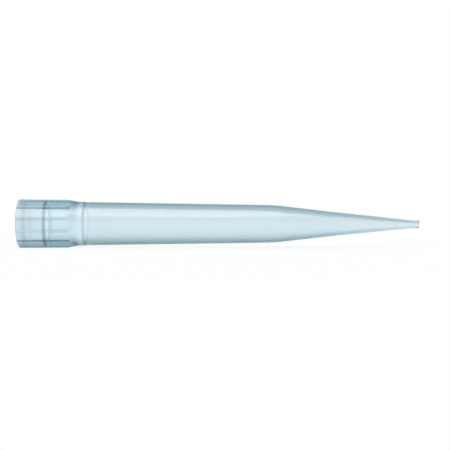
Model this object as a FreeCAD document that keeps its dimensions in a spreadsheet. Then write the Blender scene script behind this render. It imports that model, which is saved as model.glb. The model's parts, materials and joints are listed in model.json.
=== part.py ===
"""A 1 mL pipette tip, moulded in one piece: ribbed collar with a socket, long body, cone and nozzle.

It is built the way its mould makes it. A solid blank of the outer form is turned about the X axis, the
ribs are added round its wide end, and the core pin's form is then taken out as one through bore.
The tip lies on its two lowest ribs, with its axis along X, its wide end at -X and its nozzle at +X.
All sizes are in millimetres. Depths and lengths run from the rim, the flat end of the wide side.
"""

import FreeCAD, Part
import Sketcher
import os
from math import atan2, sin, tan

NODE = "pipette_tip"

SIZES = [
    # name, value, what it is
    ("tip_length", 71.0, "rim to nozzle end"),
    ("point_length", 25.7, "shoulder of the body to nozzle end"),
    ("upper_cone_length", 10.3, "length of the cone next to the body"),
    ("nozzle_length", 1.3, "straight end of the point"),
    # the core pin
    ("mouth_depth", 1.6, "length of the funnel at the rim"),
    ("mouth_flare", 0.40, "how much wider in radius the mouth is than the sealing land"),
    ("lead_flare", 0.32, "how much wider in radius the lead-in starts than the sealing land"),
    ("lead_draft", 0.02, "how much the lead-in's radius shrinks towards the sealing land"),
    ("seal_depth", 4.95, "rim to the sealing land"),
    ("seal_step", 0.46, "length of the step up to the sealing land"),
    ("seal_length", 1.6, "length of the sealing land"),
    ("seal_bore", 6.90, "diameter of the sealing land"),
    ("socket_depth", 11.6, "rim to the ledge that stops the nose cone"),
    ("socket_taper", 0.03, "how much the socket's radius shrinks below the land"),
    ("ledge", 0.11, "width of the ledge that stops the nose cone"),
    ("body_taper", 0.85, "half angle of the body's bore in degrees"),
    ("upper_cone_angle", 6.35, "half angle of the upper cone's bore in degrees"),
    ("orifice", 0.72, "diameter of the hole in the nozzle"),
    ("nozzle_taper", 0.02, "how much wider in radius the hole is behind the nozzle"),
    # the walls
    ("socket_wall", 0.49, "wall at the socket's foot"),
    ("body_wall", 0.54, "wall of the body"),
    ("cone_wall", 0.49, "wall where the two cones meet"),
    ("nozzle_wall", 0.37, "wall of the nozzle"),
    # the collar
    ("neck_length", 1.20, "length of the neck between the collar and the ledge"),
    ("collar_slope", 1.10, "length of the slope from the collar down to the neck"),
    ("collar_step", 0.23, "how much wider in radius the collar's end is than the neck"),
    ("collar_draft", 0.06, "how much the collar's radius grows from its end to the rim"),
    # the ribs
    ("rib_count", 12, "ribs round the collar"),
    ("rib_margin", 0.10, "length of collar left bare past the ribs"),
    ("rib_height", 0.20, "a rib's height over the collar at the rim"),
    ("rib_end_height", 0.19, "a rib's height over the collar at its other end"),
    ("rib_width", 0.40, "width of a rib's crest"),
    ("rib_draft", 8.0, "slope of a rib's sides in degrees"),
    ("rib_bevel", 0.40, "length of the bevel at a rib's end"),
    ("rib_toe", 0.06, "height of the square end left under the bevel"),
    # blends and edges
    ("shoulder_radius", 40.0, "blend from the body to the cone"),
    ("cone_radius", 150.0, "blend between the two cones"),
    ("crest_round", 0.12, "rounding along a rib's crest"),
    ("end_round", 0.08, "rounding of the nozzle's end"),
    ("trim_stock", 0.10, "extra height of a rib before its crest is trimmed"),
]


def make_sheet(doc):
    """The spreadsheet that drives every size."""
    sheet = doc.addObject("Spreadsheet::Sheet", "Sizes")
    for row, (name, value, meaning) in enumerate(SIZES, 1):
        sheet.set(f"A{row}", name)
        sheet.set(f"B{row}", str(value))
        sheet.setAlias(f"B{row}", name)
        sheet.set(f"C{row}", meaning)
    doc.recompute()
    return sheet


# Places along the axis and radii that several features share, as expressions on the sheet
SHOULDER = "(Sizes.tip_length - Sizes.point_length)"
CONES_MEET = f"({SHOULDER} + Sizes.upper_cone_length)"
NOZZLE_START = "(Sizes.tip_length - Sizes.nozzle_length)"
BODY_START = "(Sizes.socket_depth + Sizes.ledge)"
SEAL_END = "(Sizes.seal_depth + Sizes.seal_length)"
COLLAR_END = "(Sizes.socket_depth - Sizes.neck_length - Sizes.collar_slope)"
RIB_END = f"({COLLAR_END} - Sizes.rib_margin)"
RIB_BEVEL_START = f"({RIB_END} - Sizes.rib_bevel)"

SEAL_R = "(Sizes.seal_bore / 2)"
SOCKET_FOOT_R = f"({SEAL_R} - Sizes.socket_taper)"
BODY_BORE_R = f"({SOCKET_FOOT_R} - Sizes.ledge)"
BODY_END_BORE_R = f"({BODY_BORE_R} - tan(Sizes.body_taper * 1 deg) * ({SHOULDER} - {BODY_START}))"
CONES_BORE_R = f"({BODY_END_BORE_R} - tan(Sizes.upper_cone_angle * 1 deg) * Sizes.upper_cone_length)"
ORIFICE_R = "(Sizes.orifice / 2)"

NECK_R = f"({SOCKET_FOOT_R} + Sizes.socket_wall)"
COLLAR_END_R = f"({NECK_R} + Sizes.collar_step)"
RIM_R = f"({COLLAR_END_R} + Sizes.collar_draft)"
BODY_R = f"({BODY_BORE_R} + Sizes.body_wall)"
BODY_END_R = f"({BODY_END_BORE_R} + Sizes.body_wall)"
CONES_R = f"({CONES_BORE_R} + Sizes.cone_wall)"
NOZZLE_R = f"({ORIFICE_R} + Sizes.nozzle_wall)"

CREST_R = f"({RIM_R} + Sizes.rib_height)"
CREST_END_R = f"({COLLAR_END_R} + Sizes.rib_end_height)"
TOE_R = f"({COLLAR_END_R} + Sizes.rib_toe)"


def value_of(sheet, expression):
    """The number that an expression on the sheet gives now."""
    found = sheet.evalExpression(expression)
    return float(getattr(found, "Value", found))


def new_sketch(body, name, plane):
    """An empty sketch on one of the body's own origin planes."""
    sketch = body.newObject("Sketcher::SketchObject", name)
    support = next(f for f in body.Origin.OriginFeatures if f.Role == plane)
    sketch.AttachmentSupport = [(support, "")]
    sketch.MapMode = "FlatFace"
    return sketch


def bind(sketch, sheet, kind, elements, name, expression):
    """Add a constraint that takes its size from an expression on the sheet."""
    size = value_of(sheet, expression)
    number = sketch.addConstraint(Sketcher.Constraint(kind, *elements, size))
    sketch.renameConstraint(number, name)
    sketch.setExpression(f"Constraints.{name}", expression)


def bind_point(sketch, sheet, element, name, across, up):
    """Hold an element's start point by two expressions; a 0 puts it on the sketch's own axis."""
    axes = (("DistanceX", across, -2, "across"), ("DistanceY", up, -1, "up"))
    for kind, expression, axis, suffix in axes:
        if expression == "0":
            sketch.addConstraint(Sketcher.Constraint("PointOnObject", element, 1, axis))
        else:
            bind(sketch, sheet, kind, (-1, 1, element, 1), f"{name}_{suffix}", expression)


def blend_arc(before, corner, after, radius):
    """The arc that rounds a corner, its two ends on the lines, and whether it turns to the left."""
    back = (before - corner).normalize()
    ahead = (after - corner).normalize()
    half = back.getAngle(ahead) / 2
    first = corner + back * (radius / tan(half))
    last = corner + ahead * (radius / tan(half))
    centre = corner + (back + ahead).normalize() * (radius / sin(half))
    left = (corner - before).cross(after - corner).z > 0
    ends = (first, last) if left else (last, first)
    angles = [atan2(end.y - centre.y, end.x - centre.x) for end in ends]
    circle = Part.Circle(centre, FreeCAD.Vector(0, 0, 1), radius)
    return Part.ArcOfCircle(circle, *angles), first, last, left


def draw_outline(sketch, sheet, corners, blends=None):
    """Join named corners by straight lines into a closed outline; each is (name, across, up).

    blends gives, for some corners, the expression of the radius that rounds them. Such a corner is
    a construction point where the lines on both sides of the arc would meet.
    """
    blends = blends or {}
    names = [name for name, _, _ in corners]
    places = [
        FreeCAD.Vector(value_of(sheet, across), value_of(sheet, up), 0)
        for _, across, up in corners
    ]
    count = len(corners)
    starts, ends, arcs = list(places), list(places), {}
    for i, name in enumerate(names):
        if name in blends:
            radius = value_of(sheet, blends[name])
            around = places[i - 1], places[i], places[(i + 1) % count]
            arc, ends[i], starts[i], left = blend_arc(*around, radius)
            arcs[i] = (arc, (1, 2) if left else (2, 1))
    for i in range(count):
        sketch.addGeometry(Part.LineSegment(starts[i], ends[(i + 1) % count]), False)
    for i, (name, across, up) in enumerate(corners):
        if i not in arcs:
            sketch.addConstraint(Sketcher.Constraint("Coincident", (i - 1) % count, 2, i, 1))
            bind_point(sketch, sheet, i, name, across, up)
            continue
        arc, (first, last) = arcs[i]
        point = sketch.addGeometry(Part.Point(places[i]), True)
        bind_point(sketch, sheet, point, name, across, up)
        for line in (i - 1, i):
            sketch.addConstraint(Sketcher.Constraint("PointOnObject", point, 1, line))
        rounding = sketch.addGeometry(arc, False)
        sketch.addConstraint(Sketcher.Constraint("Tangent", i - 1, 2, rounding, first))
        sketch.addConstraint(Sketcher.Constraint("Tangent", rounding, last, i, 1))
        bind(sketch, sheet, "Radius", (rounding,), f"{name}_radius", blends[name])


def turn(body, kind, name, sketch):
    """A Revolution or Groove of a sketch through a full turn about the X axis."""
    feature = body.newObject(f"PartDesign::{kind}", name)
    feature.Profile = sketch
    feature.ReferenceAxis = (sketch, ["H_Axis"])
    feature.Angle = 360


def add_blank(body, sheet):
    """The outer form without its ribs, solid down to the axis."""
    sketch = new_sketch(body, "BlankSection", "XY_Plane")
    draw_outline(sketch, sheet, [
        ("rim_centre", "0", "0"),
        ("rim", "0", RIM_R),
        ("collar_end", COLLAR_END, COLLAR_END_R),
        ("neck_top", f"({COLLAR_END} + Sizes.collar_slope)", NECK_R),
        ("neck_foot", "Sizes.socket_depth", NECK_R),
        ("body_top", BODY_START, BODY_R),
        ("shoulder", SHOULDER, BODY_END_R),
        ("cones_meet", CONES_MEET, CONES_R),
        ("nozzle_top", NOZZLE_START, NOZZLE_R),
        ("nozzle_end", "Sizes.tip_length", NOZZLE_R),
        ("end_centre", "Sizes.tip_length", "0"),
    ], {"shoulder": "Sizes.shoulder_radius", "cones_meet": "Sizes.cone_radius"})
    turn(body, "Revolution", "Blank", sketch)


def add_ribs(doc, body, sheet):
    """One rib with sloping sides, as long as the collar, repeated round the axis."""
    sketch = new_sketch(body, "RibSection", "YZ_Plane")
    top = f"({CREST_R} + Sizes.trim_stock)"
    top_half = "(Sizes.rib_width / 2 - Sizes.trim_stock * tan(Sizes.rib_draft * 1 deg))"
    root_half = f"(Sizes.rib_width / 2 + ({CREST_R} - {SEAL_R}) * tan(Sizes.rib_draft * 1 deg))"
    draw_outline(sketch, sheet, [
        ("root_left", f"-{root_half}", SEAL_R),
        ("root_right", root_half, SEAL_R),
        ("top_right", top_half, top),
        ("top_left", f"-{top_half}", top),
    ])
    rib = body.newObject("PartDesign::Pad", "Rib")
    rib.Profile = sketch
    rib.setExpression("Length", RIB_END)
    doc.recompute()
    ribs = body.newObject("PartDesign::PolarPattern", "Ribs")
    ribs.Originals = [rib]
    ribs.Axis = (next(f for f in body.Origin.OriginFeatures if f.Role == "X_Axis"), [""])
    ribs.Angle = 360
    ribs.setExpression("Occurrences", "Sizes.rib_count")
    body.Tip = ribs


def trim_crests(body, sheet):
    """The ribs' crests taper towards the nozzle and end in a bevel over a low square toe.

    The cutting section reaches twice the stock over the crests and once the stock past the ribs.
    """
    sketch = new_sketch(body, "CrestSection", "XY_Plane")
    outside = f"({CREST_R} + 2 * Sizes.trim_stock)"
    beyond = f"({RIB_END} + Sizes.trim_stock)"
    draw_outline(sketch, sheet, [
        ("crest_rim", "0", CREST_R),
        ("bevel_top", RIB_BEVEL_START, CREST_END_R),
        ("toe", RIB_END, TOE_R),
        ("toe_clear", beyond, TOE_R),
        ("outside_end", beyond, outside),
        ("outside_rim", "0", outside),
    ])
    turn(body, "Groove", "CrestTrim", sketch)


def cut_bore(body, sheet):
    """The core pin's form: funnel, lead-in, sealing land, socket, ledge, body, cones and orifice."""
    sketch = new_sketch(body, "BoreSection", "XY_Plane")
    lead_r = f"({SEAL_R} + Sizes.lead_flare)"
    lead_end_r = f"({lead_r} - Sizes.lead_draft)"
    draw_outline(sketch, sheet, [
        ("mouth_centre", "0", "0"),
        ("mouth", "0", f"({SEAL_R} + Sizes.mouth_flare)"),
        ("lead_start", "Sizes.mouth_depth", lead_r),
        ("lead_end", "(Sizes.seal_depth - Sizes.seal_step)", lead_end_r),
        ("seal_start", "Sizes.seal_depth", SEAL_R),
        ("seal_end", SEAL_END, SEAL_R),
        ("ledge_top", "Sizes.socket_depth", SOCKET_FOOT_R),
        ("ledge_foot", BODY_START, BODY_BORE_R),
        ("bore_shoulder", SHOULDER, BODY_END_BORE_R),
        ("bores_meet", CONES_MEET, CONES_BORE_R),
        ("orifice_top", NOZZLE_START, f"({ORIFICE_R} + Sizes.nozzle_taper)"),
        ("orifice_end", "Sizes.tip_length", ORIFICE_R),
        ("orifice_centre", "Sizes.tip_length", "0"),
    ], {"bore_shoulder": "Sizes.shoulder_radius", "bores_meet": "Sizes.cone_radius"})
    turn(body, "Groove", "Bore", sketch)


def circles_at(shape, depth, radii):
    """Names of the full circles at this depth with one of these radii."""
    near = 1e-4
    return [
        f"Edge{n}"
        for n, edge in enumerate(shape.Edges, 1)
        if isinstance(edge.Curve, Part.Circle)
        and abs(edge.Curve.Center.x - depth) < near
        and any(abs(edge.Curve.Radius - radius) < near for radius in radii)
    ]


def crest_edges(shape, crest_radius, crest_end_radius, bevel_start):
    """Names of the long edges on both sides of each rib's crest."""
    near = 0.01
    found = []
    for n, edge in enumerate(shape.Edges, 1):
        if len(edge.Vertexes) != 2:
            continue
        ends = sorted((v.Point for v in edge.Vertexes), key=lambda point: point.x)
        start, end = [(p.x, (p.y**2 + p.z**2) ** 0.5) for p in ends]
        if (
            abs(start[0]) < near
            and abs(start[1] - crest_radius) < near
            and abs(end[0] - bevel_start) < near
            and abs(end[1] - crest_end_radius) < near
        ):
            found.append(f"Edge{n}")
    return found


def round_off(doc, body, name, edges, size):
    """A Fillet of the named edges of the body as it stands, with its radius bound to the sheet."""
    base = body.Tip
    rounding = body.newObject("PartDesign::Fillet", name)
    rounding.Base = (base, edges)
    rounding.setExpression("Radius", f"Sizes.{size}")
    doc.recompute()


def add_rounding(doc, body, sheet):
    """The small rounded edges of the nozzle and the ribs."""
    def size(expression):
        return value_of(sheet, expression)

    edges = circles_at(body.Shape, size("Sizes.tip_length"), [size(NOZZLE_R)])
    round_off(doc, body, "NozzleRound", edges, "end_round")
    edges = crest_edges(body.Shape, size(CREST_R), size(CREST_END_R), size(RIB_BEVEL_START))
    round_off(doc, body, "CrestRound", edges, "crest_round")


def lay_down(doc, body, sheet):
    """Turn the tip half a rib's pitch, so that two ribs are lowest, and set them on z = 0."""
    half_pitch = 180 / value_of(sheet, "Sizes.rib_count")
    turned = FreeCAD.Rotation(FreeCAD.Vector(1, 0, 0), half_pitch)
    middle = FreeCAD.Vector(-value_of(sheet, "Sizes.tip_length") / 2, 0, 0)
    body.Placement = FreeCAD.Placement(middle, turned)
    doc.recompute()
    lowest = body.Shape.optimalBoundingBox(False, False).ZMin
    body.Placement = FreeCAD.Placement(middle - FreeCAD.Vector(0, 0, lowest), turned)
    doc.recompute()


def check(doc, body):
    """Stop if an object failed or the tip isn't one valid solid."""
    for item in doc.Objects:
        if {"Invalid", "Error"} & set(item.State):
            raise RuntimeError(f"{item.Label} failed: {item.State}")
    shape = body.Shape
    if shape.isNull() or not shape.isValid() or len(shape.Solids) != 1:
        raise RuntimeError(f"{body.Label} isn't one valid solid")


def check_cut(before, after, what):
    """Stop if a cut took nothing away."""
    if after >= before:
        raise RuntimeError(f"{what} cut nothing")


def main():
    doc = FreeCAD.newDocument("PipetteTip")
    sheet = make_sheet(doc)
    body = doc.addObject("PartDesign::Body", "PipetteTip")
    body.Label = NODE
    add_blank(body, sheet)
    doc.recompute()
    add_ribs(doc, body, sheet)
    doc.recompute()
    ribbed = body.Shape.Volume
    trim_crests(body, sheet)
    doc.recompute()
    trimmed = body.Shape.Volume
    check_cut(ribbed, trimmed, "the crest trim")
    cut_bore(body, sheet)
    doc.recompute()
    check_cut(trimmed, body.Shape.Volume, "the bore")
    add_rounding(doc, body, sheet)
    lay_down(doc, body, sheet)
    check(doc, body)

    os.makedirs("parts", exist_ok=True)
    body.Shape.exportStep(f"parts/{body.Label}.step")
    tip = body.Shape.Solids[0]
    box = tip.optimalBoundingBox(False, False)
    print(f"volume {tip.Volume:.2f} mm3, centre of mass x {tip.CenterOfMass.x:.2f}")
    print(f"box x {box.XMin:.3f} {box.XMax:.3f} y {box.YMin:.3f} {box.YMax:.3f}")
    print(f"box z {box.ZMin:.3f} {box.ZMax:.3f}, axis at z {body.Placement.Base.z:.4f}")


main()
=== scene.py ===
"""A clear 1 mL pipette tip, lying on a pale floor under soft studio light.

The tip is one moulded piece. Its section is drawn as a closed outline and a Geometry Nodes tree turns
it round the axis, one sector for each rib, raising the rib on the way. The plastic is a clear, faintly
blue polypropylene with the slight flow waves of a moulding.
"""

import json
from math import atan2, ceil, cos, pi, radians, sin, tan

import bpy
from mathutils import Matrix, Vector


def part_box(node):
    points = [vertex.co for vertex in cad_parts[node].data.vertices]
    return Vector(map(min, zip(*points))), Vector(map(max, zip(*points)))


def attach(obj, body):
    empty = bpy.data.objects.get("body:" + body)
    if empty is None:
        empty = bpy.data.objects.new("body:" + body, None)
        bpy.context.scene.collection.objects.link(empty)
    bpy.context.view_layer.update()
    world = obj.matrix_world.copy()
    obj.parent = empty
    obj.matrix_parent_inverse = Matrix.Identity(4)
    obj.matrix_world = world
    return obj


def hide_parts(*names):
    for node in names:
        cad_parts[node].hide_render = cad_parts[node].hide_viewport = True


MM = 0.001

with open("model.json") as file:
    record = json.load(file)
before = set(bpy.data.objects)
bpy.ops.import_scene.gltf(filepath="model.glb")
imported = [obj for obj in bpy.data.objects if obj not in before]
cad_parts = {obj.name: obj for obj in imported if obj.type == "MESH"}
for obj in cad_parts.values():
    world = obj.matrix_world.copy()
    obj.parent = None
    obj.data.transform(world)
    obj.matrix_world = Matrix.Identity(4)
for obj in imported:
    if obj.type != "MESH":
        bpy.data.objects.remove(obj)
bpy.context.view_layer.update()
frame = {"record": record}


# ---------------------------------------------------------------- nodes written as expressions


class Signal:
    """An output of a node. Arithmetic on it adds Math nodes to the same tree."""

    def __init__(self, tree, socket):
        self.tree = tree
        self.socket = socket

    def math(self, operation, *values):
        return add(self.tree, "ShaderNodeMath", {"operation": operation}, dict(enumerate(values)))

    def __add__(self, other):
        return self.math("ADD", self, other)

    def __radd__(self, other):
        return self.math("ADD", other, self)

    def __sub__(self, other):
        return self.math("SUBTRACT", self, other)

    def __rsub__(self, other):
        return self.math("SUBTRACT", other, self)

    def __mul__(self, other):
        return self.math("MULTIPLY", self, other)

    def __rmul__(self, other):
        return self.math("MULTIPLY", other, self)

    def __truediv__(self, other):
        return self.math("DIVIDE", self, other)

    def __rtruediv__(self, other):
        return self.math("DIVIDE", other, self)

    def __mod__(self, other):
        return self.math("FLOORED_MODULO", self, other)

    def __gt__(self, other):
        return self.math("GREATER_THAN", self, other)

    def floor(self):
        return self.math("FLOOR", self)

    def sign(self):
        return self.math("SIGN", self)

    def sin(self):
        return self.math("SINE", self)

    def cos(self):
        return self.math("COSINE", self)

    def asin(self):
        return self.math("ARCSINE", self)

    def tan(self):
        return self.math("TANGENT", self)

    def atan2(self, other):
        return self.math("ARCTAN2", self, other)

    def abs(self):
        return self.math("ABSOLUTE", self)

    def at_least(self, other):
        return self.math("MAXIMUM", self, other)

    def at_most(self, other):
        return self.math("MINIMUM", self, other)

    def between(self, low, high):
        return self.at_least(low).at_most(high)

    def smooth(self, low, high):
        """0 below low, 1 above high and an S between them."""
        settings = {"interpolation_type": "SMOOTHSTEP"}
        values = {"Value": self, "From Min": low, "From Max": high}
        return add(self.tree, "ShaderNodeMapRange", settings, values)


def add(tree, kind, settings=None, values=None, output=0):
    """Add a node: its settings first, then the values or links of its sockets; returns one output."""
    node = tree.nodes.new(kind)
    for name, value in (settings or {}).items():
        setattr(node, name, value)
    for key, value in (values or {}).items():
        if isinstance(value, Signal):
            tree.links.new(value.socket, node.inputs[key])
        else:
            node.inputs[key].default_value = value
    return Signal(tree, node.outputs[output])


def part_of(vector, axis):
    """The X, Y or Z of a vector."""
    return add(vector.tree, "ShaderNodeSeparateXYZ", {}, {"Vector": vector}, axis)


# ---------------------------------------------------------------- places, in metres

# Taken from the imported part, so that both models are the same size in the same place
box_low, box_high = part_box("pipette_tip")
socket_mount = next(mount for mount in frame["record"]["mounts"] if mount["name"] == "nose_cone_socket")
RIM_X = box_low.x
AXIS_Z = socket_mount["pos_m"][2]


# ---------------------------------------------------------------- sizes, in millimetres

TIP_LENGTH = (box_high.x - box_low.x) / MM
SEAL_R = socket_mount["dims"]["r_mm"]

# Lengths along the axis
MOUTH_DEPTH = 1.6
SEAL_DEPTH = 4.95
SEAL_STEP = 0.46
SEAL_LENGTH = 1.6
SOCKET_DEPTH = 11.6
LEDGE = 0.11
NECK_LENGTH = 1.20
COLLAR_SLOPE = 1.10
POINT_LENGTH = 25.7
UPPER_CONE_LENGTH = 10.3
NOZZLE_LENGTH = 1.3

# Depths from the rim that follow from them
LEDGE_END = SOCKET_DEPTH + LEDGE
NECK_TOP = SOCKET_DEPTH - NECK_LENGTH
COLLAR_END = NECK_TOP - COLLAR_SLOPE
SHOULDER = TIP_LENGTH - POINT_LENGTH
CONES_MEET = SHOULDER + UPPER_CONE_LENGTH
NOZZLE_START = TIP_LENGTH - NOZZLE_LENGTH

# Flares and tapers of the bore: changes of its radius, then half angles
MOUTH_FLARE = 0.40
LEAD_FLARE = 0.32
LEAD_DRAFT = 0.02
SOCKET_TAPER = 0.03
NOZZLE_TAPER = 0.02
BODY_TAPER = radians(0.85)
UPPER_CONE_ANGLE = radians(6.35)

# Walls, and how much wider the collar's end is than the neck and the rim than the collar's end
SOCKET_WALL = 0.49
BODY_WALL = 0.54
CONE_WALL = 0.49
NOZZLE_WALL = 0.37
COLLAR_STEP = 0.23
COLLAR_DRAFT = 0.06

# Radii of the bore
MOUTH_R = SEAL_R + MOUTH_FLARE
LEAD_R = SEAL_R + LEAD_FLARE
LEAD_END_R = LEAD_R - LEAD_DRAFT
SOCKET_FOOT_R = SEAL_R - SOCKET_TAPER
BODY_BORE_R = SOCKET_FOOT_R - LEDGE
BODY_END_BORE_R = BODY_BORE_R - tan(BODY_TAPER) * (SHOULDER - LEDGE_END)
CONES_BORE_R = BODY_END_BORE_R - tan(UPPER_CONE_ANGLE) * UPPER_CONE_LENGTH
ORIFICE_R = 0.36
ORIFICE_TOP_R = ORIFICE_R + NOZZLE_TAPER

# Radii of the outside
NECK_R = SOCKET_FOOT_R + SOCKET_WALL
COLLAR_END_R = NECK_R + COLLAR_STEP
RIM_R = COLLAR_END_R + COLLAR_DRAFT
BODY_R = BODY_BORE_R + BODY_WALL
BODY_END_R = BODY_END_BORE_R + BODY_WALL
CONES_R = CONES_BORE_R + CONE_WALL
NOZZLE_R = ORIFICE_R + NOZZLE_WALL

# Ribs
RIB_COUNT = 12
RIB_MARGIN = 0.10
RIB_END = COLLAR_END - RIB_MARGIN
RIB_HEIGHT = 0.20
RIB_END_HEIGHT = 0.19
RIB_BEVEL = 0.40
RIB_TOE = 0.06
RIB_WIDTH = 0.40
RIB_DRAFT = radians(8.0)
CREST_ROUND = 0.12
ROOT_ROUND = 0.30

# Where a rib runs out, its roundings take at most these shares of its height
CREST_SHARE = 0.5
ROOT_SHARE = 0.6

# Blends and edges
SHOULDER_RADIUS = 40.0
CONE_RADIUS = 150.0
LEDGE_ROUND = 0.25
COLLAR_ROUND = 0.6
NECK_ROUND = 1.5
SEAL_ROUND = 0.06
EDGE_ROUND = 0.05
NOZZLE_ROUND = 0.08


def collar_r(depth):
    """Outer radius of the collar between its ribs."""
    return RIM_R + (COLLAR_END_R - RIM_R) * depth / COLLAR_END


# ---------------------------------------------------------------- the tip's section


def rounded(before, corner, after, radius, most_turn=0.14, least_steps=4):
    """Points of the arc that rounds a corner of the outline, from one tangent point to the other."""
    back = (before - corner).normalized()
    ahead = (after - corner).normalized()
    half = back.angle(ahead) / 2
    turn = pi - 2 * half
    centre = corner + (back + ahead).normalized() * (radius / sin(half))
    first, last = (corner + side * (radius / tan(half)) - centre for side in (back, ahead))
    steps = max(least_steps, ceil(turn / most_turn))
    way = 1 if first.x * last.y - first.y * last.x > 0 else -1
    start = atan2(first.y, first.x)
    angles = [start + way * turn * step / steps for step in range(steps + 1)]
    return [centre + radius * Vector((cos(angle), sin(angle))) for angle in angles]


def outline():
    """The tip's section as a closed loop of arcs; each point has its rib height and 1 inside the bore."""
    bevel_depth = RIB_END - RIB_BEVEL
    crest_end = COLLAR_END_R + RIB_END_HEIGHT - collar_r(bevel_depth)
    toe = COLLAR_END_R + RIB_TOE - collar_r(RIB_END)
    rib_gone = RIB_END + RIB_TOE / 2
    outside = [
        # depth, radius, rounding, rib height
        (0, RIM_R, EDGE_ROUND, RIB_HEIGHT),
        (bevel_depth, collar_r(bevel_depth), 0, crest_end),
        (RIB_END, collar_r(RIB_END), 0, toe),
        (rib_gone, collar_r(rib_gone), 0, 0),
        (COLLAR_END, COLLAR_END_R, COLLAR_ROUND, 0),
        (NECK_TOP, NECK_R, NECK_ROUND, 0),
        (SOCKET_DEPTH, NECK_R, LEDGE_ROUND, 0),
        (LEDGE_END, BODY_R, LEDGE_ROUND, 0),
        (SHOULDER, BODY_END_R, SHOULDER_RADIUS, 0),
        (CONES_MEET, CONES_R, CONE_RADIUS, 0),
        (NOZZLE_START, NOZZLE_R, EDGE_ROUND, 0),
        (TIP_LENGTH, NOZZLE_R, NOZZLE_ROUND, 0),
    ]
    inside = [
        (TIP_LENGTH, ORIFICE_R, EDGE_ROUND, 0),
        (NOZZLE_START, ORIFICE_TOP_R, EDGE_ROUND, 0),
        (CONES_MEET, CONES_BORE_R, CONE_RADIUS, 0),
        (SHOULDER, BODY_END_BORE_R, SHOULDER_RADIUS, 0),
        (LEDGE_END, BODY_BORE_R, LEDGE_ROUND, 0),
        (SOCKET_DEPTH, SOCKET_FOOT_R, LEDGE_ROUND, 0),
        (SEAL_DEPTH + SEAL_LENGTH, SEAL_R, EDGE_ROUND, 0),
        (SEAL_DEPTH, SEAL_R, SEAL_ROUND, 0),
        (SEAL_DEPTH - SEAL_STEP, LEAD_END_R, SEAL_ROUND, 0),
        (MOUTH_DEPTH, LEAD_R, EDGE_ROUND, 0),
        (0, MOUTH_R, EDGE_ROUND, 0),
    ]
    corners = outside + inside
    places = [Vector(corner[:2]) for corner in corners]
    arcs = []
    for i, (place, (_, _, radius, height)) in enumerate(zip(places, corners)):
        before, after = places[i - 1], places[(i + 1) % len(places)]
        arc = rounded(before, place, after, radius) if radius else [place]
        arcs.append([(point, height, float(i >= len(outside))) for point in arc])
    return arcs


def with_supports(arcs, near=0.04):
    """The loop's points, with one close to both ends of each straight stretch that is long enough."""
    loop = []
    for i, arc in enumerate(arcs):
        loop += arc
        (end, height, bore), (start, next_height, _) = arc[-1], arcs[(i + 1) % len(arcs)][0]
        run = start - end
        if run.length > 4 * near and height == next_height:
            step = run.normalized() * near
            loop += [(end + step, height, bore), (start - step, height, bore)]
    return loop


def host(loop):
    """The outline as loose points that the tree turns, with their rib heights and bore marks."""
    mesh = bpy.data.meshes.new("outline")
    points = [(RIM_X + point.x * MM, 0, point.y * MM) for point, _, _ in loop]
    mesh.from_pydata(points, [], [])
    heights = mesh.attributes.new("rib_height", "FLOAT", "POINT")
    heights.data.foreach_set("value", [height * MM for _, height, _ in loop])
    marks = mesh.attributes.new("bore", "FLOAT", "POINT")
    marks.data.foreach_set("value", [bore for _, _, bore in loop])
    piece = bpy.data.objects.new("pipette_tip_body", mesh)
    bpy.context.scene.collection.objects.link(piece)
    return piece


# ---------------------------------------------------------------- turning it, with the ribs

# Columns of half a sector, going out from the rib's middle. The crest's flat and the flank take one each
CREST_STEPS = 5
ROOT_STEPS = 5
VALLEY_STEPS = 4
CREST_START = 1
FLANK_START = CREST_START + CREST_STEPS
ROOT_START = FLANK_START + 1
VALLEY_START = ROOT_START + ROOT_STEPS
HALF_COLUMNS = VALLEY_START + VALLEY_STEPS

# Points closer than this are the same point, in metres
MERGE_DISTANCE = 1e-7


def new_tree(name, sizes):
    """A Geometry Nodes tree with these named inputs; returns it, its inputs as signals, its output."""
    tree = bpy.data.node_groups.new(name, "GeometryNodeTree")
    tree.interface.new_socket("Geometry", in_out="INPUT", socket_type="NodeSocketGeometry")
    for label, (kind, _) in sizes.items():
        tree.interface.new_socket(label, in_out="INPUT", socket_type=kind)
    tree.interface.new_socket("Geometry", in_out="OUTPUT", socket_type="NodeSocketGeometry")
    group = tree.nodes.new("NodeGroupInput")
    inputs = {socket.name: Signal(tree, socket) for socket in group.outputs if socket.name}
    return tree, inputs, tree.nodes.new("NodeGroupOutput")


def marked(geometry, name, value):
    """The geometry with this value stored on its points."""
    settings = {"data_type": "FLOAT", "domain": "POINT"}
    values = {"Geometry": geometry, "Name": name, "Value": value}
    return add(geometry.tree, "GeometryNodeStoreNamedAttribute", settings, values)


def progress(passed, start, steps):
    """How far a column has come over one stretch of the rib's section, from 0 to 1."""
    return ((passed - start) / steps).between(0, 1)


def rib_section(given, passed, height):
    """How far across and how high the rib's surface is at a column: flat, crest, flank, then root."""
    draft = given["Rib Draft"]
    sweep = pi / 2 - draft
    crest = given["Crest Rounding"].at_most(height * CREST_SHARE)
    root = given["Root Rounding"].at_most(height * ROOT_SHARE)

    # Half the rib's width at its foot, half its flat crest and the height of its straight flank
    foot = given["Rib Width"] / 2 + given["Rib Height"] * draft.tan()
    flat = foot - height * draft.tan() - crest * (sweep / 2).tan()
    drop = height - (crest + root) * (1 - sweep.cos())

    # How far the crest's rounding has turned by this column, and how much of the root's turn is left
    turned = sweep * progress(passed, CREST_START, CREST_STEPS)
    left = sweep * (1 - progress(passed, ROOT_START, ROOT_STEPS))
    over_flank = progress(passed, FLANK_START, 1)
    across = flat * progress(passed, 0, 1) + crest * turned.sin() + drop * draft.tan() * over_flank
    across = across + root * (sweep.sin() - left.sin())
    rise = height - crest * (1 - turned.cos()) - drop * over_flank
    rise = rise - root * (left.cos() - sweep.cos())
    return across, rise


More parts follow.
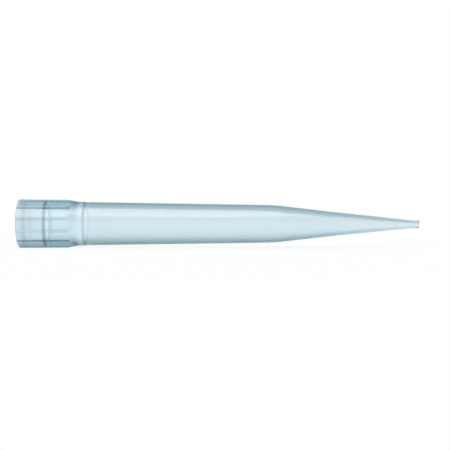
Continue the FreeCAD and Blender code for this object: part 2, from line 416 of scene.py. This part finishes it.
def sector(tree, given, half_pitch):
    """One sector of the tip: a row for each point of the outline, with the rib along its middle."""
    columns = 2 * HALF_COLUMNS + 1

    # The grid has one row more than the outline has points, and its last row repeats the first
    rows = add(tree, "GeometryNodeAttributeDomainSize", {}, {"Geometry": given["Geometry"]})
    grid = add(tree, "GeometryNodeMeshGrid", {}, {"Vertices X": rows + 1, "Vertices Y": columns})
    index = add(tree, "GeometryNodeInputIndex")
    row = (index / columns).floor() % rows
    column = (index % columns) - HALF_COLUMNS

    def named(name):
        return add(tree, "GeometryNodeInputNamedAttribute", {"data_type": "FLOAT"}, {"Name": name})

    def at_row(kind, value):
        """This value at the outline's point for the row."""
        settings = {"data_type": kind, "domain": "POINT"}
        values = {"Geometry": given["Geometry"], "Value": value, "Index": row}
        return add(tree, "GeometryNodeSampleIndex", settings, values)

    place = at_row("FLOAT_VECTOR", add(tree, "GeometryNodeInputPosition"))
    height = at_row("FLOAT", named("rib_height"))
    bore = at_row("FLOAT", named("bore"))
    radius = part_of(place, "Z")

    # Columns follow the rib where there is one, and are evenly spaced elsewhere
    passed = column.abs()
    across, rise = rib_section(given, passed, height)
    rib_angle = (across / (radius + rise)).asin()
    ribbed = rib_angle + (half_pitch - rib_angle) * progress(passed, VALLEY_START, VALLEY_STEPS)
    even = half_pitch * passed / HALF_COLUMNS
    has_rib = height > 0
    angle = (even + (ribbed - even) * has_rib) * column.sign()
    reach = radius + rise * has_rib
    values = {"X": part_of(place, "X"), "Y": reach * angle.sin(), "Z": reach * angle.cos()}
    spot = add(tree, "ShaderNodeCombineXYZ", {}, values)
    formed = add(tree, "GeometryNodeSetPosition", {}, {"Geometry": grid, "Position": spot})
    share = rise * has_rib / given["Rib Height"]
    return marked(marked(formed, "bore", bore), "rib", share.between(0, 1))


def turning_tree(sizes):
    """Turns the outline round the X axis, one sector for each rib."""
    tree, given, out = new_tree("turned_with_ribs", sizes)
    half_pitch = pi / given["Ribs"]
    marks = add(tree, "GeometryNodePoints", {}, {"Count": given["Ribs"]})
    number = add(tree, "GeometryNodeInputIndex")
    turn = add(tree, "ShaderNodeCombineXYZ", {}, {"X": (number * 2 + 1) * half_pitch})
    copies = add(
        tree, "GeometryNodeInstanceOnPoints", {},
        {"Points": marks, "Instance": sector(tree, given, half_pitch), "Rotation": turn},
    )
    lift = add(tree, "ShaderNodeCombineXYZ", {}, {"Z": given["Axis Height"]})
    lifted = add(
        tree, "GeometryNodeTranslateInstances", {},
        {"Instances": copies, "Translation": lift, "Local Space": False},
    )
    whole = add(tree, "GeometryNodeRealizeInstances", {}, {"Geometry": lifted})
    closed = add(
        tree, "GeometryNodeMergeByDistance", {}, {"Geometry": whole, "Distance": MERGE_DISTANCE}
    )
    smooth = add(tree, "GeometryNodeSetShadeSmooth", {}, {"Geometry": closed, "Shade Smooth": True})
    painted = add(
        tree, "GeometryNodeSetMaterial", {}, {"Geometry": smooth, "Material": given["Material"]}
    )
    tree.links.new(painted.socket, out.inputs[0])
    return tree


def turn_tip(material):
    """The finished tip as one plain closed mesh."""
    sizes = {
        "Ribs": ("NodeSocketInt", RIB_COUNT),
        "Rib Width": ("NodeSocketFloat", RIB_WIDTH * MM),
        "Rib Height": ("NodeSocketFloat", RIB_HEIGHT * MM),
        "Crest Rounding": ("NodeSocketFloat", CREST_ROUND * MM),
        "Root Rounding": ("NodeSocketFloat", ROOT_ROUND * MM),
        "Rib Draft": ("NodeSocketFloat", RIB_DRAFT),
        "Axis Height": ("NodeSocketFloat", AXIS_Z),
        "Material": ("NodeSocketMaterial", material),
    }
    piece = host(with_supports(outline()))
    tree = turning_tree(sizes)
    modifier = piece.modifiers.new("turn", "NODES")
    modifier.node_group = tree
    for socket in tree.interface.items_tree:
        if socket.in_out == "INPUT" and socket.name in sizes:
            modifier[socket.identifier] = sizes[socket.name][1]
    graph = bpy.context.evaluated_depsgraph_get()
    mesh = bpy.data.meshes.new_from_object(piece.evaluated_get(graph))
    mesh.name = "pipette_tip_body"
    piece.modifiers.remove(modifier)
    piece.data = mesh
    return piece


# ---------------------------------------------------------------- materials

WHITE = (1, 1, 1, 1)

# Roughness of the outside, and what the blasted core pin and a rib's crest add to it
GLOSS = 0.08
BLASTED = 0.28
CREST_SCUFF = 0.2

# Bands of the bore where the core pin is polished: start and end depth, how far each end is drawn out
# to both sides, and the share of the polish
POLISHED_BANDS = [
    (SEAL_DEPTH + 0.20, SEAL_DEPTH + 0.65, 0.15, 1),
    (SEAL_DEPTH + 0.75, NECK_TOP, 0.10, 0.25),
    (NECK_TOP + 0.30, SOCKET_DEPTH - 0.40, 0.20, 1),
    (LEDGE_END + 0.40, LEDGE_END + 0.80, 0.20, 1),
]

# Bands of the bore with painted shade, each with the tint that darkens its colour in place of the dark
# rings that bent light
# shows there: the mouth's funnel, the lead-in, the step up to the sealing land and the ledge
PAINTED_SHADE_BANDS = [
    (-1, MOUTH_DEPTH, 0.08, (0.53, 0.63, 0.70, 1)),
    (MOUTH_DEPTH + 0.8, SEAL_DEPTH - 0.36, 0.20, (0.90, 0.955, 0.98, 1)),
    (SEAL_DEPTH - 0.36, SEAL_DEPTH + 0.18, 0.08, (0.45, 0.50, 0.54, 1)),
    (SOCKET_DEPTH - 0.10, LEDGE_END + 0.30, 0.12, (0.84, 0.85, 0.88, 1)),
]
BLASTED_TINT = (1.0, 0.975, 0.97, 1)

# Flow waves of the moulding, drawn out along the tip, with their height in metres
WAVE_STRETCH = (0.25, 1, 1)
WAVE_SCALE = 420.0
WAVE_HEIGHT = 2e-6

# A rib's flank lies between these shares of its height, and this much light goes straight through it
FLANK_FOOT = (0, 0.06)
FLANK_TOP = (0.85, 1.0)
FLANK_SHEER = 0.8


def surface_tree(name):
    material = bpy.data.materials.new(name)
    material.use_nodes = True
    tree = material.node_tree
    tree.nodes.clear()
    return material, tree


def tinted(tree, share, colour, tint):
    """The colour, going over to its product with the tint where share is 1."""
    settings = {"data_type": "RGBA", "blend_type": "MULTIPLY"}
    return add(tree, "ShaderNodeMix", settings, {0: share, 6: colour, 7: tint}, 2)


def clear_polypropylene():
    """Clear, faintly blue plastic: glossy outside, blasted and polished bands in the bore, faint ribs."""
    material, tree = surface_tree("clear_polypropylene")
    place = add(tree, "ShaderNodeTexCoord", output="Object")
    depth = (part_of(place, "X") - RIM_X) / MM
    bore = add(tree, "ShaderNodeAttribute", {"attribute_name": "bore"}, output="Fac")
    rib = add(tree, "ShaderNodeAttribute", {"attribute_name": "rib"}, output="Fac")

    def ring(start, end, soft):
        """1 on the bore between two depths, with soft ends."""
        begun = depth.smooth(start - soft, start + soft)
        return begun * (1 - depth.smooth(end - soft, end + soft)) * bore

    polished = sum(ring(start, end, soft) * share for start, end, soft, share in POLISHED_BANDS)
    matt = bore * (1 - polished)
    colour = tinted(tree, matt, WHITE, BLASTED_TINT)
    # Painted shade: the colour is darkened on these bands of the bore
    for start, end, soft, tint in PAINTED_SHADE_BANDS:
        colour = tinted(tree, ring(start, end, soft), colour, tint)

    stretched = add(tree, "ShaderNodeMapping", {}, {"Vector": place, "Scale": WAVE_STRETCH})
    waves = add(tree, "ShaderNodeTexNoise", {}, {"Vector": stretched, "Scale": WAVE_SCALE, "Detail": 2.0})
    bump = add(tree, "ShaderNodeBump", {}, {"Strength": 1.0, "Distance": WAVE_HEIGHT, "Height": waves})
    clear = add(tree, "ShaderNodeBsdfPrincipled", {}, {
        "Base Color": colour,
        "Roughness": matt * BLASTED + rib * CREST_SCUFF + GLOSS,
        "IOR": 1.49,
        "Transmission Weight": 1.0,
        "Normal": bump,
    })
    sheer = add(tree, "ShaderNodeBsdfPrincipled", {}, {
        "Base Color": WHITE,
        "Roughness": 0.0,
        "IOR": 1.01,
        "Transmission Weight": 1.0,
    })
    flank = rib.smooth(*FLANK_FOOT) * (1 - rib.smooth(*FLANK_TOP))
    shader = add(tree, "ShaderNodeMixShader", {}, {"Fac": flank * FLANK_SHEER, 1: clear, 2: sheer})
    blue = {"Color": (0.08, 0.66, 0.84, 1.0), "Density": 270.0}
    volume = add(tree, "ShaderNodeVolumeAbsorption", {}, blue)
    out = tree.nodes.new("ShaderNodeOutputMaterial")
    tree.links.new(shader.socket, out.inputs["Surface"])
    tree.links.new(volume.socket, out.inputs["Volume"])
    return material


# How much of the floor's plain white each kind of ray sees; the rest is the lit floor with its shadow
FLOOR_WHITE = {"Is Camera Ray": 0.9, "Is Glossy Ray": 0.3, "Is Transmission Ray": 0.1}


def pale_floor():
    """White to the eye, and it keeps part of the tip's shadow."""
    material, tree = surface_tree("pale_floor")
    lit = add(tree, "ShaderNodeBsdfDiffuse", {}, {"Color": (0.83, 0.88, 0.90, 1)})
    glow = add(tree, "ShaderNodeEmission", {}, {"Color": WHITE, "Strength": 1.0})
    share = sum(add(tree, "ShaderNodeLightPath", output=ray) * part for ray, part in FLOOR_WHITE.items())
    mixed = add(tree, "ShaderNodeMixShader", {}, {"Fac": share, 1: lit, 2: glow})
    out = tree.nodes.new("ShaderNodeOutputMaterial")
    tree.links.new(mixed.socket, out.inputs["Surface"])
    return material


# ---------------------------------------------------------------- the studio, in metres

# Panels stand all round the tip. Going out from a panel's middle, it is white up to its edge and
# fades to the grey of the gap
PANEL_PITCH = radians(45)
PANEL_EDGE = radians(15.5)
GAP_START = radians(22)

# Elevations as sines: where the panels and their gaps end, and where the grey above them gets paler
PANELS_END = (0.14, 0.27)
GAPS_END = (0.3, 0.6)
OVERHEAD = (0.5, 0.8)

# How much of the grey each place has
GREY_ABOVE = 0.95
GREY_LOST_OVERHEAD = 0.45
GREY_IN_GAPS = 1.2
STUDIO_GREY = (0.30, 0.435, 0.515, 1)

FLOOR_R = 0.06
FLOOR_DROP = 2e-5

CAMERA_ELEVATION = radians(3)
CAMERA_ROLL = radians(0.08)
CAMERA_DISTANCE = 0.183
AIM = Vector((0.001, 0, AXIS_Z - 0.00021))


def make_world():
    """White to the eye; the tip also sees white panels round it with grey gaps, and grey above them."""
    world = bpy.data.worlds.new("studio")
    bpy.context.scene.world = world
    world.use_nodes = True
    tree = world.node_tree
    tree.nodes.clear()
    direction = add(tree, "ShaderNodeTexCoord", output="Generated")
    side, away, up = (part_of(direction, axis) for axis in "XYZ")
    above = up.smooth(*PANELS_END) * (GREY_ABOVE - up.smooth(*OVERHEAD) * GREY_LOST_OVERHEAD)
    azimuth = side.atan2(away)
    from_panel = ((azimuth / PANEL_PITCH + 0.5) % 1.0 - 0.5).abs() * PANEL_PITCH
    gaps = from_panel.smooth(PANEL_EDGE, GAP_START) * (1 - up.abs().smooth(*GAPS_END))
    grey = above.at_least(gaps * GREY_IN_GAPS)
    seen = add(tree, "ShaderNodeLightPath", output="Is Camera Ray")
    colour = add(
        tree, "ShaderNodeMix", {"data_type": "RGBA", "clamp_factor": False},
        {0: grey * (1 - seen), 6: WHITE, 7: STUDIO_GREY}, 2,
    )
    back = add(tree, "ShaderNodeBackground", {}, {"Color": colour, "Strength": 1.0})
    out = tree.nodes.new("ShaderNodeOutputWorld")
    tree.links.new(back.socket, out.inputs["Surface"])


def make_floor():
    """A round floor, a hair below the tip's ribs."""
    place = (0, 0, -FLOOR_DROP)
    bpy.ops.mesh.primitive_circle_add(vertices=96, radius=FLOOR_R, fill_type="NGON", location=place)
    floor = bpy.context.object
    floor.name = "floor"
    floor.data.materials.append(pale_floor())


def make_lamp():
    """A broad soft light from above and in front."""
    data = bpy.data.lights.new("softbox", "SUN")
    data.angle = radians(50)
    data.energy = 1.8
    lamp = bpy.data.objects.new("softbox", data)
    bpy.context.scene.collection.objects.link(lamp)
    lamp.rotation_euler = (radians(25), 0, radians(-20))
    lamp.visible_transmission = False


def make_camera():
    """Almost level with the tip, with a long lens."""
    data = bpy.data.cameras.new("camera")
    data.sensor_width = 36
    data.lens = 82.25
    data.clip_start = 0.001
    camera = bpy.data.objects.new("camera", data)
    bpy.context.scene.collection.objects.link(camera)
    back = Vector((0, -cos(CAMERA_ELEVATION), sin(CAMERA_ELEVATION)))
    camera.location = AIM + back * CAMERA_DISTANCE
    camera.rotation_euler = (pi / 2 - CAMERA_ELEVATION, -CAMERA_ROLL, 0)
    bpy.context.scene.camera = camera


tip = turn_tip(clear_polypropylene())
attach(tip, "root")
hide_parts("pipette_tip")

make_world()
make_floor()
make_lamp()
make_camera()
bpy.context.scene.view_settings.view_transform = "Standard"
